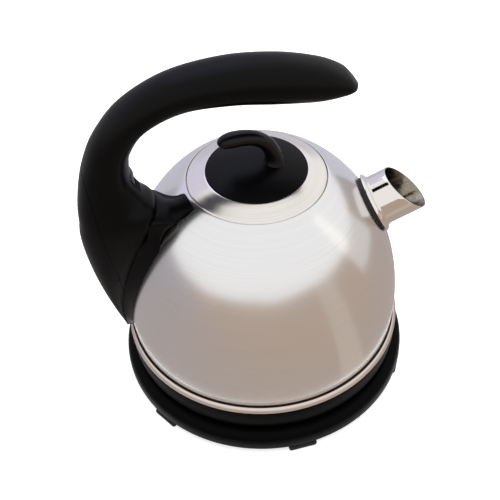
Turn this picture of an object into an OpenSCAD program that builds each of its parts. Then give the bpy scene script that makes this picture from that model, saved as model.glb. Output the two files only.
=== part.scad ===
// Electric kettle: a steel dome on a plastic skirt, with a C-shaped handle, a lift-off lid
// with a hooked knob, a straight polished spout and a round 360 degree power base.
// +X is the pouring side, -X the handle, Z = 0 the table. Millimetres.

/* [Power base] */
// Radius of the power base at its widest
base_r = 100; // [96:1:104]
// Height of the power base's rim above the table
base_h = 19.2; // [18.6:0.1:19.4]
// Number of lugs under the base that the cord is wound round
lugs = 6; // [5:1:8]
// Turn of the first lug from +X, in degrees
lug_turn = 35; // [25:1:45]

/* [Body] */
// Radius of the steel dome at its widest line
dome_r = 93; // [92.7:0.1:93.3]
// Height of the dome's widest line
dome_z = 61.5; // [60:0.5:63]
// Rise of the full dome above that line, if it had no lid opening
dome_rise = 116.3; // [115.5:0.1:117]
// Thickness of the steel sheet
wall = 1; // [0.8:0.1:1.2]
// Outer radius of the steel band round the dome's foot
band_r = 95; // [94.5:0.1:96]

/* [Lid] */
// Radius of the joint between lid and dome
lid_r = 45; // [44.6:0.1:45.4]
// Radius of the black cap in the lid
cap_r = 32.4; // [31:0.2:34]
// Radius of the neck that the lid's plug drops into
neck_r = 38.5; // [38:0.1:39]

/* [Spout] */
// Outer radius of the spout tube
spout_r = 17.2; // [16:0.2:18]
// Height at which the spout's axis leaves the dome
spout_z = 124.3; // [121:0.1:127]
// Tilt of the spout's axis above the horizontal, in degrees
spout_tilt = 25; // [22:0.5:28]
// Length of the spout along its axis, from the flange to the mouth
spout_len = 21.8; // [19:0.2:24]
// Slant of the mouth against a square cut, in degrees
mouth_slant = 24; // [15:1:28]

/* [Handle] */
// Half width of the grip, across the kettle
grip_w = 17; // [16:0.25:18]
// Half thickness of the grip's top, in the kettle's middle plane
grip_t = 13.2; // [12.4:0.1:14]

/* [Hidden] */
$fn = 96;

black = "#17171a";
dark = "#26262a";
steel = "#b9b6b2";
bright = "#d5d5d8";
brass = "#c2a052";
rubber = "#0f0f10";
seal_grey = "#8f9296";

// ---------- shared functions ----------

// Catmull-Rom value between b and c at t, for numbers or rows of numbers.
function cr(a, b, c, d, t) =
    0.5 * (2 * b + (c - a) * t + (2 * a - 5 * b + 4 * c - d) * t * t + (3 * b - a - 3 * c + d) * t * t * t);

// Rows of a table smoothed into parts steps between each pair.
function smooth_rows(rows, parts) =
    let (last = len(rows) - 1)
    concat(
        [for (i = [0 : last - 1], k = [0 : parts - 1])
            cr(rows[max(i - 1, 0)], rows[i], rows[i + 1], rows[min(i + 2, last)], k / parts)],
        [rows[last]]
    );

// A number's power that keeps its sign.
function spow(v, e) = sign(v) * pow(abs(v), e);

// Solid through a list of rings of equal length, closed by a fan at each end.
module skin(rings) {
    n = len(rings[0]);
    m = len(rings);
    mid = function(ring) [for (k = [0 : 2]) (max([for (p = ring) p[k]]) + min([for (p = ring) p[k]])) / 2];
    points = concat([for (ring = rings, p = ring) p], [mid(rings[0]), mid(rings[m - 1])]);
    sides = [for (i = [0 : m - 2], j = [0 : n - 1], h = [0 : 1])
        let (a = i * n + j, b = i * n + (j + 1) % n)
        h == 0 ? [a, b, a + n] : [b, b + n, a + n]];
    start = [for (j = [0 : n - 1]) [(j + 1) % n, j, m * n]];
    finish = [for (j = [0 : n - 1]) [(m - 1) * n + j, (m - 1) * n + (j + 1) % n, m * n + 1]];
    polyhedron(points, concat(sides, start, finish), convexity = 6);
}

// Places children on the spout's axis, local Z running out of the mouth and local X down.
module on_spout(along) {
    translate([dome_x(spout_z), 0, spout_z])
        rotate([0, 90 - spout_tilt, 0])
            translate([0, 0, along])
                children();
}

// Copies its children count times round the Z axis.
module ring_of(count, turn = 0) {
    for (i = [0 : count - 1]) {
        rotate(turn + i * 360 / count)
            children();
    }
}

// A countersunk screw pointing up, its head's flat face at z = 0.
module screw(shaft_r, head_r, length) {
    cylinder(r1 = head_r, r2 = shaft_r, h = head_r - shaft_r, $fn = 32);
    cylinder(r = shaft_r, h = length, $fn = 32);
}

// ---------- the dome's outline ----------

dome_steps = 26;
dome_foot = 38.8;

// Angle along the dome's outline at height z, 0 at the widest line.
function dome_angle(z) = asin((z - dome_z) / dome_rise);

// Outward lean of the dome's surface at angle t, as a unit [radial, upward] pair.
function dome_normal(t) =
    let (n = [cos(t) / dome_r, sin(t) / dome_rise])
    n / norm(n);

// Point [radius, height] of the outline at angle t, moved outwards by off.
function dome_pt(t, off = 0) = [dome_r * cos(t), dome_z + dome_rise * sin(t)] + off * dome_normal(t);

// Radius of the dome at height z.
function dome_x(z, off = 0) = dome_pt(dome_angle(z), off)[0];

// Height of the joint line where the lid's edge meets the dome.
joint_z = dome_z + dome_rise * sqrt(1 - pow((lid_r + 0.4) / dome_r, 2));
dome_start = dome_angle(dome_foot);
dome_end = dome_angle(joint_z);
foot_r = dome_x(dome_foot);

// Outline of the dome from its foot to the joint line.
function dome_curve(off, to = dome_end) =
    [for (i = [0 : dome_steps]) dome_pt(dome_start + (to - dome_start) * i / dome_steps, off)];

module dome_solid(off) {
    rotate_extrude()
        polygon(concat([[0, dome_foot]], dome_curve(off), [[0, joint_z]]));
}

// ---------- power base ----------

base_foot = 4;
deck_z = 16.6;
base_wall = 2.2;
lug_r = base_r - 2.6;
cover_z = 3;
spigot_r = 12.2;
spigot_top = 26.5;
pin_r = 2;
gland_z = 10.5;
gland_r = 4.7;
cord_r = 3.6;
base_screw_r = 62;

module base_shell() {
    color(black)
        difference() {
            rotate_extrude($fn = 128)
                polygon([
                    [base_r - 1.6, base_foot], [base_r - 0.5, base_foot + 1.4], [base_r - 0.1, base_foot + 3.5],
                    [base_r, base_foot + 7], [base_r - 0.4, base_foot + 10], [base_r - 1.6, base_foot + 12.6],
                    [base_r - 3.6, base_foot + 14.5], [base_r - 6.2, base_h],
                    [base_r - 10, base_h], [base_r - 12.4, deck_z + 0.6], [base_r - 14.4, deck_z],
                    [spigot_r + 6.5, deck_z], [spigot_r + 6.5, deck_z - base_wall],
                    [base_r - 14, deck_z - base_wall], [base_r - 10, base_h - base_wall - 0.4],
                    [base_r - 6.8, base_h - base_wall - 0.4], [base_r - 3.4, base_foot + 11.4],
                    [base_r - base_wall, base_foot + 7], [base_r - base_wall - 0.3, base_foot + 3],
                    [base_r - base_wall - 1.6, base_foot]
                ]);
            translate([0, base_r - 8, gland_z])
                rotate([-90, 0, 0])
                    cylinder(r = gland_r, h = 12, $fn = 48);
        }
    color(black)
        ring_of(3, 90)
            translate([base_screw_r, 0, cover_z + base_wall])
                difference() {
                    cylinder(r = 4, h = deck_z - cover_z - 2 * base_wall + 0.5, $fn = 32);
                    cylinder(r = 1.5, h = 8, $fn = 32);
                }
}

module base_cover() {
    color(dark)
        difference() {
            union() {
                translate([0, 0, cover_z])
                    cylinder(r = base_r - base_wall - 3, h = base_wall);
                cylinder_wall(52, 2, 0, cover_z);
                ring_of(lugs, lug_turn)
                    lug();
            }
            ring_of(3, 90)
                translate([base_screw_r, 0, cover_z - 0.1]) {
                    cylinder(r1 = 3.3, r2 = 1.7, h = 1.7, $fn = 32);
                    cylinder(r = 1.7, h = 4, $fn = 32);
                }
            ring_of(12, 15)
                translate([30, -1, cover_z - 1])
                    cube([14, 2, 5]);
        }
}

// A short upright wall standing down from the cover.
module cylinder_wall(r, t, low, high) {
    translate([0, 0, low])
        difference() {
            cylinder(r = r, h = high - low + 0.5);
            translate([0, 0, -1])
                cylinder(r = r - t, h = high - low + 3);
        }
}

// One lug that holds the wound cord up and carries a rubber foot.
module lug() {
    intersection() {
        translate([0, 0, 0.9])
            difference() {
                cylinder(r = lug_r, h = cover_z - 0.4);
                translate([0, 0, -1])
                    cylinder(r = lug_r - 16, h = 6);
            }
        translate([lug_r - 20, -9.5, 0])
            cube([24, 19, 8]);
    }
}

module base_feet() {
    color(rubber)
        ring_of(lugs, lug_turn)
            intersection() {
                difference() {
                    cylinder(r = lug_r - 1.2, h = 0.9);
                    translate([0, 0, -1])
                        cylinder(r = lug_r - 14.5, h = 3);
                }
                translate([lug_r - 20, -8, -1])
                    cube([24, 16, 3]);
            }
}

module base_screws() {
    color(bright)
        ring_of(3, 90)
            translate([base_screw_r, 0, cover_z])
                screw(1.5, 3.1, 9);
}

module cord_gland() {
    color(black)
        translate([0, 0, gland_z])
            rotate([-90, 0, 0])
                difference() {
                    union() {
                        translate([0, 0, base_r - 9])
                            cylinder(r = gland_r - 0.05, h = 8.6, $fn = 48);
                        translate([0, 0, base_r - 9])
                            cylinder(r = gland_r + 0.5, h = 4, $fn = 48);
                    }
                    translate([0, 0, base_r - 12])
                        cylinder(r = cord_r, h = 16, $fn = 48);
                }
}

module contact_spigot() {
    color(dark)
        difference() {
            rotate_extrude()
                polygon([
                    [0, deck_z - 6], [spigot_r + 4, deck_z - 6], [spigot_r + 4, deck_z - base_wall - 2],
                    [spigot_r + 9, deck_z - base_wall - 2], [spigot_r + 9, deck_z - base_wall],
                    [spigot_r + 6.4, deck_z - base_wall], [spigot_r + 6.4, deck_z + 1.4],
                    [spigot_r + 5.4, deck_z + 2], [spigot_r + 0.6, deck_z + 2], [spigot_r, deck_z + 2.6],
                    [spigot_r, spigot_top - 1], [spigot_r - 1, spigot_top], [10.2, spigot_top],
                    [10.2, deck_z + 3], [4.8, deck_z + 3], [4.8, spigot_top], [0, spigot_top]
                ]);
            translate([0, 0, deck_z - 7])
                cylinder(r = pin_r, h = 30, $fn = 48);
        }
}

module contact_sleeves() {
    color(brass) {
        translate([0, 0, deck_z + 3])
            tube(10.15, 9.4, 5.6);
        translate([0, 0, deck_z + 3])
            tube(5.5, 4.85, 6.4);
    }
}

module earth_pin() {
    color(brass)
        rotate_extrude($fn = 48)
            polygon([
                [0, deck_z - 6], [pin_r, deck_z - 6], [pin_r, spigot_top + 1.2],
                [pin_r - 0.8, spigot_top + 2], [0, spigot_top + 2]
            ]);
}

// A plain tube standing on z = 0.
module tube(outer, inner, height) {
    rotate_extrude()
        translate([inner, 0])
            square([outer - inner, height]);
}

// ---------- socket under the kettle ----------

socket_r = 19.6;
socket_low = 18.8;
socket_high = 31;
control_r = 33;
control_h = 15.4;

module socket() {
    color(dark)
        rotate_extrude()
            polygon([
                [2.6, socket_high - 1], [2.6, spigot_top + 1], [6.4, spigot_top + 1], [6.4, deck_z + 6],
                [8.6, deck_z + 6], [8.6, spigot_top + 1], [spigot_r + 0.7, spigot_top + 1],
                [spigot_r + 0.7, socket_low + 0.9], [spigot_r + 1.6, socket_low], [socket_r, socket_low],
                [socket_r, socket_high], [0, socket_high], [0, socket_high - 1]
            ]);
}

module socket_contacts() {
    color(brass)
        translate([0, 0, deck_z + 6.6]) {
            tube(6.35, 5.9, 3.4);
            tube(9, 8.65, 3.4);
        }
}

// ---------- kettle underside ----------

skirt_low = 20.6;
skirt_floor = 2;
plate_z = 41.4;
plate_r = 88;
skirt_screw_r = 70;

module skirt() {
    color(black)
        difference() {
            union() {
                rotate_extrude($fn = 128)
                    polygon([
                        [socket_r + 0.6, skirt_low + 1.4], [socket_r + 6, skirt_low + 0.4],
                        [socket_r + 9, skirt_low], [band_r - 5.4, skirt_low], [band_r - 3, skirt_low + 0.9],
                        [band_r - 1.6, skirt_low + 3], [band_r - 0.8, skirt_low + 7],
                        [band_r - 0.5, dome_foot - 0.1], [foot_r - 4, dome_foot - 0.1],
                        [foot_r - 4, dome_foot - 4], [band_r - 3.6, dome_foot - 6],
                        [band_r - 4.4, skirt_low + 4], [band_r - 6.4, skirt_low + skirt_floor],
                        [control_r + 2.6, skirt_low + skirt_floor], [control_r + 2.6, skirt_low + 7],
                        [control_r + 0.6, skirt_low + 7], [control_r + 0.6, skirt_low + skirt_floor],
                        [socket_r + 2.6, skirt_low + skirt_floor], [socket_r + 2.6, skirt_low + 5],
                        [socket_r + 0.6, skirt_low + 5]
                    ]);
                ring_of(3, 30)
                    translate([skirt_screw_r, 0, skirt_low + 1])
                        cylinder(r = 4.6, h = plate_z - skirt_low - 4.5, $fn = 32);
            }
            ring_of(3, 30)
                translate([skirt_screw_r, 0, skirt_low - 0.1]) {
                    cylinder(r = 3.4, h = 3, $fn = 32);
                    cylinder(r = 1.8, h = 20, $fn = 32);
                }
        }
}

module skirt_screws() {
    color(bright)
        ring_of(3, 30)
            translate([skirt_screw_r, 0, skirt_low + 1.1]) {
                cylinder(r = 3, h = 1.8, $fn = 32);
                cylinder(r = 1.7, h = plate_z - skirt_low - 1.4, $fn = 32);
            }
}

// Pressed steel floor of the vessel, its rim turned up against the seal, with three threaded bushes below.
module floor_plate() {
    color(steel) {
        rotate_extrude()
            polygon([
                [0, plate_z], [plate_r - 3, plate_z], [plate_r - 0.6, plate_z + 0.8], [plate_r, plate_z + 2.4],
                [plate_r, plate_z + 6], [plate_r - wall, plate_z + 6], [plate_r - wall, plate_z + 2.8],
                [plate_r - 3.4, plate_z + wall], [0, plate_z + wall]
            ]);
        ring_of(3, 30)
            translate([skirt_screw_r, 0, plate_z - 3.4])
                difference() {
                    cylinder(r = 3.6, h = 3.6, $fn = 32);
                    translate([0, 0, -1])
                        cylinder(r = 1.7, h = 4.4, $fn = 32);
                }
    }
}

module floor_seal() {
    color(seal_grey)
        rotate_extrude()
            polygon([
                [plate_r + 0.05, plate_z + 1], [dome_x(plate_z - 0.6, -wall) - 0.05, plate_z - 0.6],
                [dome_x(plate_z + 6.6, -wall) - 0.05, plate_z + 6.6],
                [plate_r - wall, plate_z + 7.4], [plate_r - wall, plate_z + 6.05], [plate_r + 0.05, plate_z + 6.05]
            ]);
}

module heat_plate() {
    color("#c9cbcc")
        translate([0, 0, plate_z - 3])
            cylinder(r = 62, h = 2.95);
}

element_r = 48;
element_tube = 3.2;

// Sheathed element: a C of tube under the heat plate, with its two cold ends turned inwards.
module heating_element() {
    color("#8d8f90")
        translate([0, 0, plate_z - 3 - element_tube - 0.1]) {
            rotate(25)
                rotate_extrude(angle = 310)
                    translate([element_r, 0])
                        circle(r = element_tube, $fn = 32);
            for (a = [25, -25]) {
                rotate(a)
                    translate([element_r - 9, 0, 0])
                        rotate([0, 90, 0])
                            cylinder(r = 2, h = 9, $fn = 32);
            }
        }
}

// Ring that carries the two heat cut-outs round the socket.
module control_ring() {
    color("#ece8dc")
        difference() {
            translate([0, 0, skirt_low + skirt_floor])
                tube(control_r, socket_r + 3, control_h);
            for (s = [-1, 1]) {
                translate([s * 27.6, 0, skirt_low + skirt_floor + control_h - 1.4])
                    cylinder(r = 4.6, h = 3, $fn = 48);
            }
        }
}

// Two domed bimetal discs that snap when the floor runs dry.
module cutout_discs() {
    color(bright)
        for (s = [-1, 1]) {
            translate([s * 27.6, 0, skirt_low + skirt_floor + control_h - 1.4])
                rotate_extrude($fn = 48)
                    polygon([[0, 0.5], [4.5, 0], [4.5, 0.4], [3, 1], [0, 1.4]]);
        }
}

// ---------- vessel ----------

ledge_z = joint_z - 3.2;

// Steel dome: one drawn sheet, its upper edge folded down into the lid's seat.
module vessel() {
    inside = dome_curve(-wall, dome_angle(ledge_z + 0.8 * wall));
    color(steel)
        difference() {
            rotate_extrude($fn = 180)
                polygon(concat(
                    dome_curve(0),
                    [[lid_r, joint_z - 0.1], [lid_r, ledge_z]],
                    [for (i = [dome_steps : -1 : 0]) inside[i]]
                ));
            on_spout(-12)
                cylinder(r = spout_r + 0.05, h = 20);
            screw_bores(1.8);
            translate([-dome_x(steam_z) - 8, 0, steam_z])
                rotate([0, 90, 0])
                    cylinder(r = steam_r + 0.05, h = 18, $fn = 48);
        }
}

// Pressed ring under the fold: the ledge the lid rests over and the neck that guides its plug.
module neck_ring() {
    color(steel)
        translate([0, 0, ledge_z])
            rotate_extrude($fn = 128)
                polygon([
                    [neck_r + 1, -0.02], [lid_r + 2.8, -0.02], [lid_r + 2.8, -wall], [neck_r + 2, -wall],
                    [neck_r + wall, -wall - 0.6], [neck_r + wall, -9], [neck_r, -9], [neck_r, -0.9]
                ]);
}

// Steel band pressed round the foot of the dome.
module band() {
    band_h = 4.4;
    band_in = dome_x(dome_foot + band_h) + 0.05;
    color(bright)
        translate([0, 0, dome_foot])
            rotate_extrude($fn = 180)
                polygon([
                    [band_in, 0], [band_r - 0.5, 0], [band_r, 0.8], [band_r - 0.1, 2.4],
                    [band_r - 0.8, 3.6], [band_in + 1.2, band_h], [band_in, band_h]
                ]);
}

// ---------- spout ----------

tube_wall = 0.9;
flange_r = spout_r + 3.6;
flange_at = 1;
tube_in = 4;

module spout_tube() {
    color(bright)
        on_spout(0)
            difference() {
                translate([0, 0, -tube_in])
                    cylinder(r = spout_r, h = flange_at + spout_len + 14);
                translate([0, 0, -tube_in - 1])
                    cylinder(r = spout_r - tube_wall, h = flange_at + spout_len + 17);
                translate([0, 0, flange_at + spout_len])
                    rotate([0, -mouth_slant, 0])
                        translate([-40, -40, 0])
                            cube([80, 80, 40]);
            }
}

// Coned washer brazed to the tube, its rim swept back towards the dome.
module spout_flange() {
    color(bright)
        on_spout(flange_at)
            rotate_extrude($fn = 128)
                polygon([
                    [spout_r + 0.02, 0.6], [spout_r + 1, 0.4], [flange_r - 0.2, -1.3], [flange_r, -1],
                    [flange_r - 0.1, -0.5], [spout_r + 2.2, 0.9], [spout_r + 0.9, 1.8], [spout_r + 0.02, 2.4]
                ]);
}

module spout_gasket() {
    color(rubber)
        difference() {
            on_spout(flange_at)
                rotate_extrude()
                    polygon([
                        [spout_r + 0.05, -6], [flange_r - 0.9, -6], [flange_r - 0.9, -0.9],
                        [spout_r + 1, 0.3], [spout_r + 0.05, 0.45]
                    ]);
            dome_solid(0.03);
        }
}

// Strainer behind the spout: a flanged disc with round holes in rings.
module spout_strainer() {
    strainer_r = spout_r - tube_wall - 0.05;
    color(steel)
        on_spout(-tube_in + 0.4)
            difference() {
                rotate_extrude()
                    polygon([
                        [0, 0], [strainer_r, 0], [strainer_r, 3], [strainer_r - 0.6, 3],
                        [strainer_r - 0.6, 0.6], [0, 0.6]
                    ]);
                translate([0, 0, -1])
                    cylinder(r = 1, h = 3, $fn = 16);
                for (k = [1 : 4]) {
                    ring_of(6 * k)
                        translate([3.6 * k, 0, -1])
                            cylinder(r = 1, h = 3, $fn = 16);
                }
            }
}

// ---------- handle ----------

// Stations of the handle from its tail, up the back and round to the free end: [x, z, direction of
// the outer side in degrees, half thickness, half width, flatness of the inner side, shift to the side].
handle_rows = [
    [-96.8, 45, 180, 0.8, 3, 3, 0],
    [-97.6, 53, 180, 1.6, 6, 3.4, 0],
    [-99.2, 65, 180, 3.4, 9.5, 4, 0],
    [-100.8, 85, 180, 7, 14, 5, 0],
    [-100.3, 105, 180, 11.7, 17.5, 6, -0.6],
    [-97.7, 125, 181, 17.1, 19.5, 6, -1.6],
    [-94.1, 141.8, 185, 22.8, 20, 4.6, -3],
    [-90, 153.9, 190, 24.9, 19.5, 3, -4],
    [-93.1, 163.8, 190, 21.1, 18.5, 2.3, -2.6],
    [-94, 177, 183, 16.8, 17.6, 2.1, -0.8],
    [-92, 190.1, 173, grip_t + 0.9, grip_w, 2.1, 0],
    [-85.9, 205.7, 154, grip_t - 1.4, grip_w - 0.8, 2.1, 0],
    [-71.7, 222.7, 132, grip_t - 2.5, grip_w - 1.5, 2.1, 0],
    [-46.5, 235.1, 112, grip_t - 1.8, grip_w - 1.3, 2.1, 0],
    [-15.3, 238.1, 95, grip_t, grip_w - 0.4, 2.1, 0],
    [14.1, 235.2, 86, grip_t + 0.6, grip_w, 2.1, 0],
    [38.4, 230.7, 80, grip_t - 1.5, grip_w - 1.2, 2.1, 0],
    [53, 227.5, 77, grip_t - 5.8, grip_w - 3.8, 2.1, 0],
    [60, 224.8, 76, grip_t - 10, grip_w - 8, 2.1, 0],
    [63, 223, 76, 1.2, 2, 2.1, 0]
];
handle_parts = 3;
handle_sides = 28;
seam_row = 7;
seam_gap = 0.15;
seam_in = 0.8;
stations = smooth_rows(handle_rows, handle_parts);

// Ring of points of one handle station: a superellipse whose inner side is flattened.
function handle_ring(s, shrink = 0) =
    [for (j = [0 : handle_sides - 1])
        let (
            a = 360 * (j + 0.5) / handle_sides,
            e = 2 / (cos(a) > 0 ? 2.3 : s[5]),
            p = (s[3] - shrink) * spow(cos(a), e),
            q = (s[4] - shrink) * spow(sin(a), e)
        )
        [s[0] + p * cos(s[2]), q + s[6], s[1] + p * sin(s[2])]];

// Point just inside a station's inner side in the middle plane, where the saddle meets it.
function seam_pt(s) =
    [s[0] - (s[3] - seam_in) * cos(s[2]), s[1] - (s[3] - seam_in) * sin(s[2])];

module handle_solid() {
    skin([for (s = stations) handle_ring(s)]);
}

// The rear cover's joint is a slanted plane through these two points of the middle plane.
split_top = [-104, 172];
split_low = [-94.5, 98];
split_angle = atan2(split_top[0] - split_low[0], split_top[1] - split_low[1]);

// Everything behind the rear cover's joint, moved back by gap.
module behind_split(gap) {
    translate([split_low[0], 0, split_low[1]])
        rotate([0, split_angle, 0])
            translate([-60 - gap, -40, -60])
                cube([60, 80, 180]);
}

lever_at = [-85, 176];
lever_w = 6.6;
pin_long = 10;
lever_pin_r = 1.2;
cavity_low = 109;
cavity_high = 151;
cavity_back = -112;
cavity_w = 12;
steam_z = 141;
steam_r = 4;
screw_z = [61, 81, 102];
screw_r = 1.7;
cover_wall = 2.6;
cover_rows = [15, 31];

// Clips of the rear cover: [height, distance from the handle's middle, the middle's shift to the side].
clips = [[127, 16.4, -1.7], [159, 15.6, -3.3]];

// Position along X of the rear cover's joint at height z.
function split_x(z) = split_low[0] + (z - split_low[1]) * tan(split_angle);

// Tongues of the rear cover, or the slots they enter when room is added.
module cover_clips(room) {
    for (c = clips, s = [-1, 1]) {
        translate([split_x(c[0]), s * c[1] + c[2], c[0]])
            cube([9, 2 + 2 * room, 8 + 2 * room], center = true);
    }
}

// Bores for the screws that hold the handle.
module screw_bores(r) {
    for (z = screw_z) {
        at_screw(z)
            cylinder(r = r, h = 24, center = true, $fn = 32);
    }
}

// Places children on the outward normal of the dome under the handle, at height z.
module at_screw(z) {
    n = dome_normal(dome_angle(z));
    translate([-dome_x(z), 0, z])
        rotate([0, -90 + atan2(n[1], n[0]), 0])
            children();
}

module handle_shell() {
    color(black)
        difference() {
            handle_solid();
            behind_split(0);
            translate([cavity_back, -cavity_w, cavity_low])
                cube([70, 2 * cavity_w, cavity_high - cavity_low]);
            translate([lever_at[0] - 6, -lever_w - 0.4, lever_at[1] - 7])
                cube([30, 2 * lever_w + 0.8, 13.4]);
            translate([lever_at[0] - 8, -lever_w - 0.4, cavity_high - 1])
                cube([11, 2 * lever_w + 0.8, lever_at[1] - cavity_high]);
            cover_clips(0.15);
            translate([lever_at[0], -pin_long, lever_at[1]])
                rotate([-90, 0, 0])
                    cylinder(r = lever_pin_r, h = 2 * pin_long, $fn = 32);
            intersection() {
                screw_bores(screw_r + 0.05);
                translate([-96, -5, screw_z[2] - 7])
                    cube([20, 10, 14]);
            }
        }
}

module rear_cover() {
    color(black)
        difference() {
            union() {
                difference() {
                    intersection() {
                        handle_solid();
                        behind_split(0.15);
                    }
                    skin([for (i = [cover_rows[0] : cover_rows[1]]) handle_ring(stations[i], cover_wall)]);
                }
                cover_clips(0);
            }
            intersection() {
                screw_bores(screw_r + 0.05);
                translate([-99.6, -5, 45])
                    cube([20, 10, 50]);
            }
        }
}

// ---------- saddle between handle and dome ----------

// Tongue of the saddle, from the end of the handle's seam to the lid: [x, z, height on the dome,
// half width outside, half width on the dome, crown, shift to the side].
tongue_rows = [
    [-61, 156.2, 152.6, 12.4, 14.6, 3.6, -7.6],
    [-56.6, 157.4, 155.6, 10, 12, 3, -10],
    [-51.9, 159.8, 158.7, 8.2, 9.6, 1.9, -12],
    [-47.4, 162.9, 161.4, 7.2, 8, 0.8, -13.2]
];
seam_last = seam_row * handle_parts;
saddle_skin = 0.15;
saddle_sides = 9;

// Half width of the saddle on the dome at height z.
function saddle_w(z) = lookup(z, [
    [44, 3.8], [53, 8.4], [65, 13.6], [85, 19.8], [105, 22.6], [125, 23.2], [138, 21.8], [144, 19], [150, 15.8]
]);

// Sideways shift of the saddle's edge on the dome at height z, which leads into the tongue.
function saddle_shift(z) = lookup(z, [
    [65, 0], [105, -1.6], [125, -2.4], [138, -3.4], [144, -4.8], [150, -6.8]
]);

// Rows of the saddle: those along the handle's seam, then the tongue.
saddle_rows = concat(
    [for (i = [0 : seam_last])
        let (
            s = stations[i],
            p = seam_pt(s),
            z = p[1] < 137 ? p[1] : 137 + (p[1] - 137) * 0.6
        )
        [p[0], p[1], z, 0.93 * s[4], saddle_w(z), 0, saddle_shift(z), s]],
    tongue_rows
);

// Ring of one saddle row: straight across the outer side, hollow flanks, and the dome's own curve inside.
function saddle_ring(r) =
    let (
        foot = dome_pt(dome_angle(r[2]), saddle_skin),
        tongue = len(r) == 7,
        inner = function(v)
            let (turn = asin((v * r[4] + r[6]) / foot[0]))
            [-foot[0] * cos(turn), foot[0] * sin(turn), foot[1]],
        outer = function(v)
            let (
                s = r[7],
                lift = tongue ? 0 : s[3] * (1 - pow(1 - pow(abs(v) * r[3] / s[4], s[5]), 1 / s[5])),
                turn = tongue ? 0 : s[2],
                y = v * r[3] + (tongue ? r[6] : s[6])
            )
            [r[0] + lift * cos(turn) + (tongue ? y * y / 96 : 0), y, r[1] + lift * sin(turn) - r[5] * v * v],
        flank = function(v, t)
            let (
                a = outer(v),
                b = inner(v),
                c = tongue ? (a + b) / 2 : [0.25 * a[0] + 0.75 * b[0], 0.7 * a[1] + 0.3 * b[1], a[2]]
            )
            (1 - t) * (1 - t) * a + 2 * t * (1 - t) * c + t * t * b
    )
    concat(
        [for (k = [0 : saddle_sides - 1]) outer(-1 + 2 * k / (saddle_sides - 1))],
        [for (k = [1 : 3]) flank(1, k / 4)],
        [for (k = [0 : saddle_sides - 1]) inner(1 - 2 * k / (saddle_sides - 1))],
        [for (k = [3 : -1 : 1]) flank(-1, k / 4)]
    );

module handle_saddle() {
    color(black)
        difference() {
            skin([for (r = saddle_rows) saddle_ring(r)]);
            skin([for (i = [0 : seam_last + handle_parts]) handle_ring(stations[i], -seam_gap)]);
            screw_bores(1.8);
            translate([-90, 0, steam_z])
                rotate([0, 90, 0])
                    cylinder(r = steam_r + 0.05, h = 40, $fn = 48);
        }
}

// Screws driven from inside the vessel into the handle.
module handle_screws() {
    color(bright)
        for (z = screw_z) {
            at_screw(z) {
                translate([0, 0, -wall - 1.6])
                    cylinder(r = 3.6, h = 1.4, $fn = 32);
                translate([0, 0, -wall - 0.3])
                    cylinder(r = screw_r, h = 7.4, $fn = 32);
            }
        }
}

// ---------- steam switch ----------

module steam_tube() {
    color(seal_grey)
        translate([-78, 0, steam_z])
            rotate([0, 90, 0])
                difference() {
                    union() {
                        cylinder(r = steam_r, h = 78 - dome_x(steam_z) + 8, $fn = 48);
                        cylinder(r = steam_r + 1.4, h = 1.5, $fn = 48);
                    }
                    translate([0, 0, -1])
                        cylinder(r = steam_r - 1, h = 40, $fn = 48);
                }
}

// Steam switch in the handle: its moulded frame with the snap disc on the side of the tube.
module steam_switch() {
    color("#d9d4c6")
        difference() {
            translate([-95, 0.1 - cavity_w, cavity_low + 12])
                cube([12, 2 * cavity_w - 0.2, 26]);
            translate([-85, 0, steam_z - 7])
                rotate([0, 90, 0])
                    cylinder(r = 7.5, h = 5, $fn = 48);
        }
    color(bright)
        translate([-84.9, 0, steam_z - 7])
            rotate([0, 90, 0])
                rotate_extrude($fn = 48)
                    polygon([[0, 0], [7.4, 0], [7.4, 0.4], [4, 1], [0, 1.3]]);
}

// Switch lever: a rocker on a cross pin, its thumb pad standing out of the crook.
module switch_lever() {
    color(black)
        translate([lever_at[0], lever_w, lever_at[1]])
            rotate([90, 0, 0])
                difference() {
                    linear_extrude(2 * lever_w)
                        union() {
                            circle(r = 3.4, $fn = 32);
                            polygon([
                                [-1.5, -25], [1.5, -25], [1.5, -3.6], [7, -4.8], [8.2, -4.4], [8.6, -3],
                                [8.5, -1.4], [7.9, 1.2], [7, 3.4], [5.6, 4.6], [0, 3.4], [-1.5, 2.6]
                            ]);
                        }
                    translate([0, 0, -1])
                        cylinder(r = lever_pin_r + 0.05, h = 2 * lever_w + 2, $fn = 32);
                }
}

module switch_pin() {
    color(bright)
        translate([lever_at[0], -pin_long, lever_at[1]])
            rotate([-90, 0, 0])
                cylinder(r = lever_pin_r, h = 2 * pin_long, $fn = 32);
}

// ---------- lid ----------

cap_z = joint_z + 6.2;
cap_rise = 4.8;
plug_r = 36.6;
ring_t = 0.9;

// Steel ring of the lid: a shallow dished cone with its outer edge turned down into the dome's ledge.
module lid_ring() {
    color(steel)
        rotate_extrude($fn = 180)
            polygon([
                [lid_r - 0.35, joint_z - 2.6], [lid_r - 0.35, joint_z - 0.2], [lid_r - 0.9, joint_z + 0.5],
                [lid_r - 2, joint_z + 1], [lid_r - 5, joint_z + 2.4], [lid_r - 8.6, joint_z + 4.1],
                [cap_r + 0.9, joint_z + 5.4], [cap_r + 0.15, joint_z + 5.5],
                [cap_r + 0.15, joint_z + 5.5 - ring_t], [cap_r + 0.9, joint_z + 5.4 - ring_t],
                [lid_r - 8.6, joint_z + 4.1 - ring_t], [lid_r - 5, joint_z + 2.4 - ring_t],
                [lid_r - 2, joint_z + 1 - ring_t], [lid_r - 1.25, joint_z - 0.6], [lid_r - 1.25, joint_z - 2.6]
            ]);
}

knob_x = 11.8;

// Height of the black cap at radius r.
function cap_top(r) = cap_z + cap_rise * (1 - pow(r / cap_r, 2));

// Outline of the cap's upper face, raised by off.
function cap_curve(off) = [for (k = [0 : 8]) [cap_r * k / 8 * 0.985, cap_top(cap_r * k / 8) + off]];

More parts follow.
